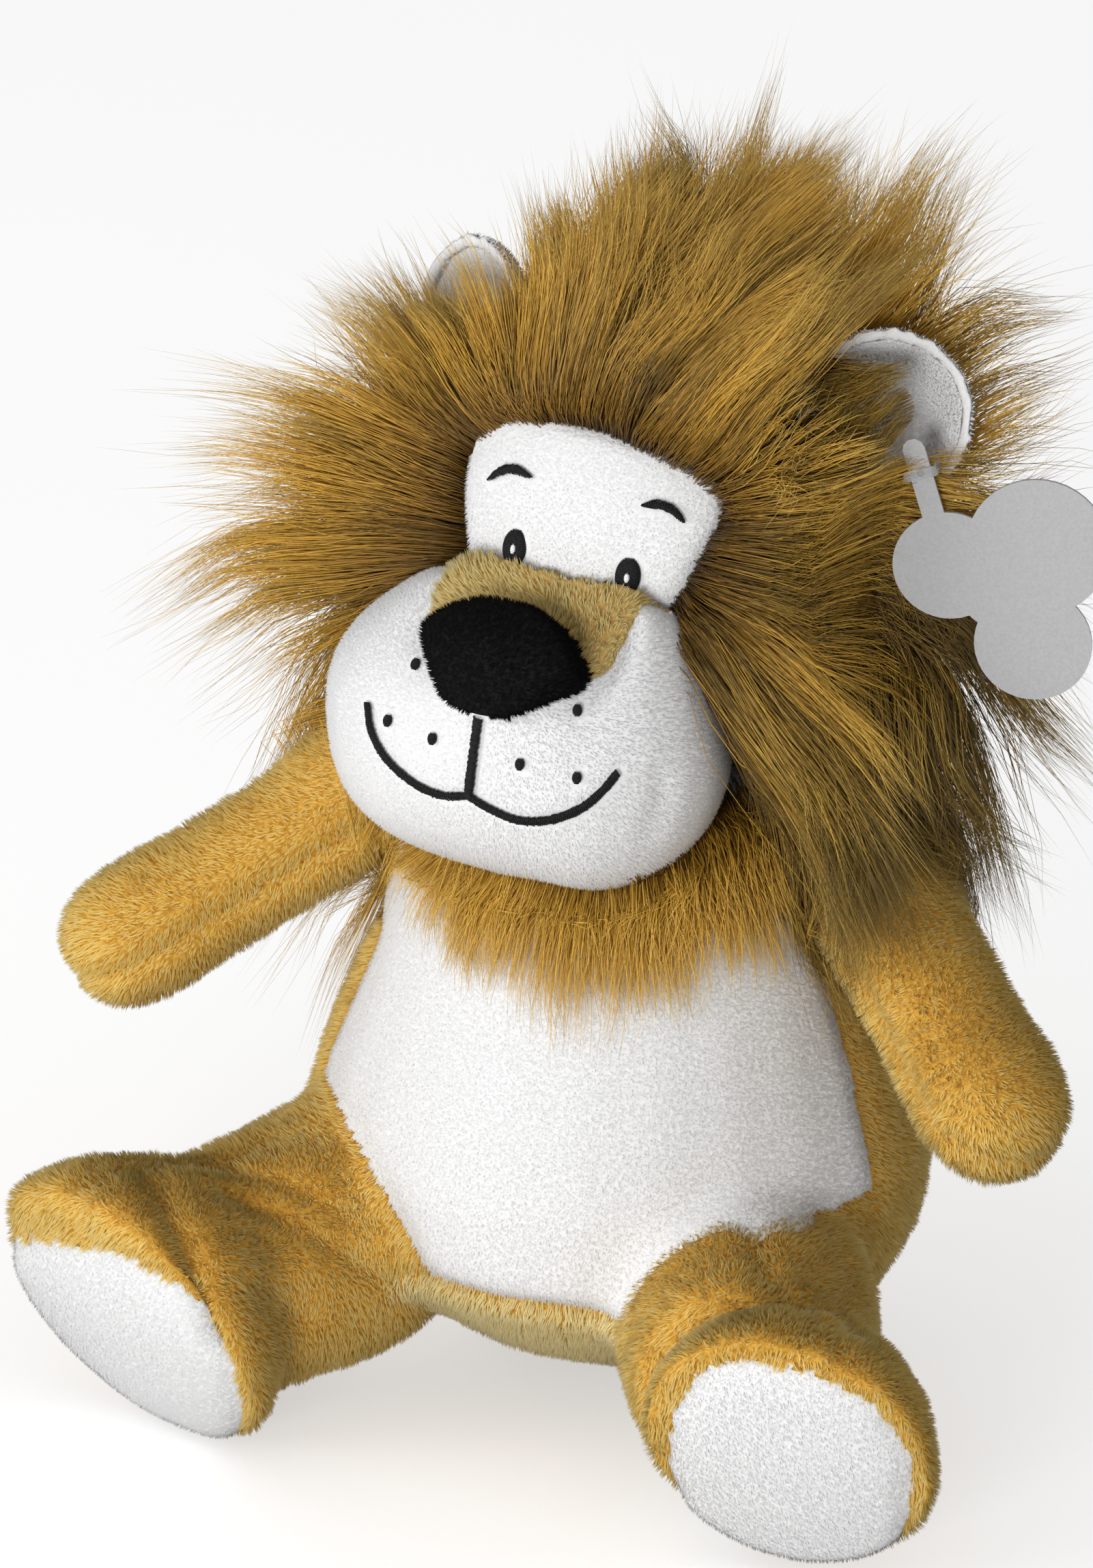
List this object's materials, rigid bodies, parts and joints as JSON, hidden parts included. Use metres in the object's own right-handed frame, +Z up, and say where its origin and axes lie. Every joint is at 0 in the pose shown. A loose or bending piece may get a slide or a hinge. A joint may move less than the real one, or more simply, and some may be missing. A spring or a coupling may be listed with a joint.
{
  "type": "plush lion",
  "caption": "Seated plush lion with long-haired mane, white belly and muzzle, embroidered face, turning head, lifting arms and legs, tail and blank hang tag.",
  "frame": {"origin": "middle of the flat underside of the torso, on the surface it sits on", "axes": "+Z up, the lion faces -Y, its own left side is +X"},
  "size_m": [0.2198, 0.2208, 0.2747],
  "materials": {
    "golden_plush": "short golden pile fabric, matt",
    "white_plush": "short white pile fabric, matt",
    "beige_plush": "short beige pile fabric, matt",
    "black_plush": "short black pile fabric, matt",
    "mane_fur": "long golden brown imitation fur",
    "fibre_fill": "loose polyester fibre",
    "tag_paper": "plain grey card",
    "clear_plastic": "thin clear strap"
  },
  "bodies": {
    "torso": {"belly_panel": "white_plush", "back_panel_left": "golden_plush", "back_panel_right": "golden_plush", "seat_panel": "golden_plush", "torso_stuffing": "fibre_fill"},
    "head": {"face_panel": "white_plush", "head_stuffing": "fibre_fill", "bridge_panel": "beige_plush", "muzzle_panel": "white_plush", "nose_pad": "black_plush", "muzzle_stuffing": "fibre_fill", "mane_back": "mane_fur", "mane_left": "mane_fur", "mane_right": "mane_fur", "beard": "mane_fur", "ear_left_front": "white_plush", "ear_left_back": "white_plush", "ear_right_front": "white_plush", "ear_right_back": "white_plush"},
    "tail": {"tail": "golden_plush", "tail_tuft": "mane_fur"},
    "tag": {"hang_tag": "tag_paper", "tag_strap": "clear_plastic"},
    "arm_left": {"arm_left_upper": "golden_plush", "arm_left_lower": "golden_plush", "arm_left_stuffing": "fibre_fill"},
    "leg_left": {"leg_left_outer": "golden_plush", "leg_left_inner": "golden_plush", "sole_left": "white_plush", "leg_left_stuffing": "fibre_fill"},
    "arm_right": {"arm_right_upper": "golden_plush", "arm_right_lower": "golden_plush", "arm_right_stuffing": "fibre_fill"},
    "leg_right": {"leg_right_outer": "golden_plush", "leg_right_inner": "golden_plush", "sole_right": "white_plush", "leg_right_stuffing": "fibre_fill"}
  },
  "joints": [
    {"name": "head_turn", "type": "hinge", "parent": "torso", "child": "head", "pos_m": [0, 0, 0.142], "axis": [0, 0, 1], "range_deg": [-10, 10], "stiffness_Nm_per_rad": 0.3},
    {"name": "arm_left_lift", "type": "hinge", "parent": "torso", "child": "arm_left", "pos_m": [0.046, 0, 0.124], "axis": [0, -1, 0], "range_deg": [-8, 35], "stiffness_Nm_per_rad": 0.15},
    {"name": "arm_right_lift", "type": "hinge", "parent": "torso", "child": "arm_right", "pos_m": [-0.046, 0, 0.124], "axis": [0, 1, 0], "range_deg": [-8, 35], "stiffness_Nm_per_rad": 0.15},
    {"name": "leg_left_lift", "type": "hinge", "parent": "torso", "child": "leg_left", "pos_m": [0.045, -0.04, 0.035], "axis": [-0.8884, -0.459, 0], "range_deg": [0, 22], "stiffness_Nm_per_rad": 0.25},
    {"name": "leg_right_lift", "type": "hinge", "parent": "torso", "child": "leg_right", "pos_m": [-0.045, -0.04, 0.035], "axis": [-0.8884, 0.459, 0], "range_deg": [0, 22], "stiffness_Nm_per_rad": 0.25},
    {"name": "tail_swing", "type": "hinge", "parent": "torso", "child": "tail", "pos_m": [-0.02441, 0.04591, 0.025], "axis": [0, 0, 1], "range_deg": [-30, 30], "stiffness_Nm_per_rad": 0.03},
    {"name": "tag_flap", "type": "hinge", "parent": "head", "child": "tag", "pos_m": [0.05981, -0.00539, 0.20679], "axis": [-0.9144, -0.2387, -0.3269], "range_deg": [0, 35]}
  ]
}
